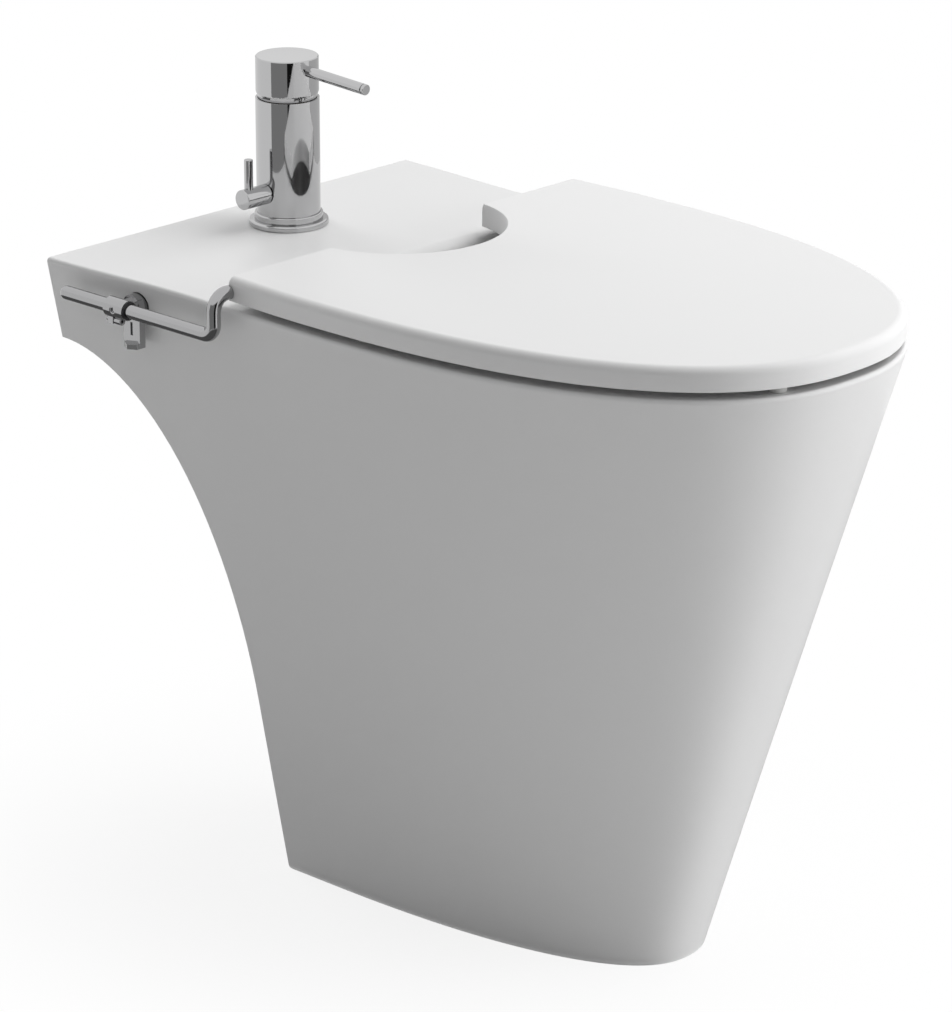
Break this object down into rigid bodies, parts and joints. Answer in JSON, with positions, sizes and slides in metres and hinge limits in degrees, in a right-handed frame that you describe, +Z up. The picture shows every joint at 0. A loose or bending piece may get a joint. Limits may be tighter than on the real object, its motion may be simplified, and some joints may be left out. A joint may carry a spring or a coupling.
{
  "type": "bidet",
  "caption": "Floor-standing tapered ceramic bidet with a closed hinged lid, a spoutless deck mixer with a lever and diverter, and chrome side hinge rods.",
  "frame": {"origin": "on the floor, midway between the two floor fixing holes, 165 mm in front of the wall", "axes": "+Z up, -Y towards the front of the bidet, X across with the diverter on the -X side"},
  "size_m": [0.3736, 0.5591, 0.5495],
  "materials": {
    "ceramic": "glossy white glaze",
    "lid_plastic": "gloss white thermoset",
    "bumper_rubber": "pale grey",
    "chrome": "polished chrome plate",
    "nylon": "dark moulded nylon",
    "steel": "plain zinc-plated",
    "rubber": "matt black",
    "brass": "turned, unplated",
    "trap_plastic": "white polypropylene"
  },
  "bodies": {
    "pan": {"pan": "ceramic", "pan_bowl": "ceramic", "pan_bowl_floor": "ceramic", "pan_deck": "ceramic", "pan_rim_left": "ceramic", "pan_rim_right": "ceramic", "pan_rim_front": "ceramic", "hinge_rod_left": "chrome", "hinge_rod_right": "chrome", "hinge_bracket_left": "chrome", "hinge_bracket_right": "chrome", "sleeve_bushes": "nylon", "sleeve_set_screws": "chrome", "sleeve_clamp_screws": "chrome", "height_screws": "chrome", "bracket_rosettes": "chrome", "bracket_bolts": "steel", "bracket_gaskets": "rubber", "bracket_washers": "steel", "mixer_seal": "rubber", "mixer_flange": "chrome", "mixer_step_ring": "chrome", "mixer_body": "chrome", "cartridge": "nylon", "cartridge_nut": "brass", "diverter_o_ring": "rubber", "fixing_stud": "brass", "clamp_rubber": "rubber", "clamp_plate": "steel", "fixing_nut": "brass", "bowl_inlet": "chrome", "inlet_gasket": "rubber", "inlet_nut": "brass", "waste_flange": "chrome", "waste_seal_top": "rubber", "waste_seal_under": "rubber", "waste_nut": "brass", "waste_tail": "trap_plastic", "trap_inlet_nut": "trap_plastic", "trap_body": "trap_plastic", "trap_cup": "trap_plastic", "trap_ring": "rubber", "trap_outlet": "trap_plastic", "outlet_nut": "trap_plastic", "outlet_seal": "rubber"},
    "lid": {"lid": "lid_plastic", "lid_bumpers": "bumper_rubber"},
    "stem": {"swivel_stem": "brass", "pivot_pin": "steel"},
    "cap": {"mixer_cap": "chrome", "lever_rod": "chrome", "lever_tip": "chrome"},
    "diverter": {"diverter_spindle": "brass", "diverter_knob": "chrome", "diverter_stick": "chrome"},
    "plug": {"waste_plug": "chrome", "plug_seal": "rubber", "plug_clip": "steel"}
  },
  "joints": [
    {"name": "lid_hinge", "type": "hinge", "parent": "pan", "child": "lid", "pos_m": [0, -0.0075, 0.4431], "axis": [-1, 0, 0], "range_deg": [0, 100]},
    {"name": "mixer_swivel", "type": "hinge", "parent": "pan", "child": "stem", "pos_m": [0, 0.109, 0.5], "axis": [0, 0, 1], "range_deg": [-45, 45]},
    {"name": "mixer_tilt", "type": "hinge", "parent": "stem", "child": "cap", "pos_m": [0, 0.109, 0.5389], "axis": [-1, 0, 0], "range_deg": [0, 20]},
    {"name": "diverter_turn", "type": "hinge", "parent": "pan", "child": "diverter", "pos_m": [0, 0.109, 0.4565], "axis": [1, 0, 0], "range_deg": [0, 90]},
    {"name": "plug_slide", "type": "slide", "parent": "pan", "child": "plug", "axis": [0, 0, -1], "range_m": [0, 0.006]}
  ]
}
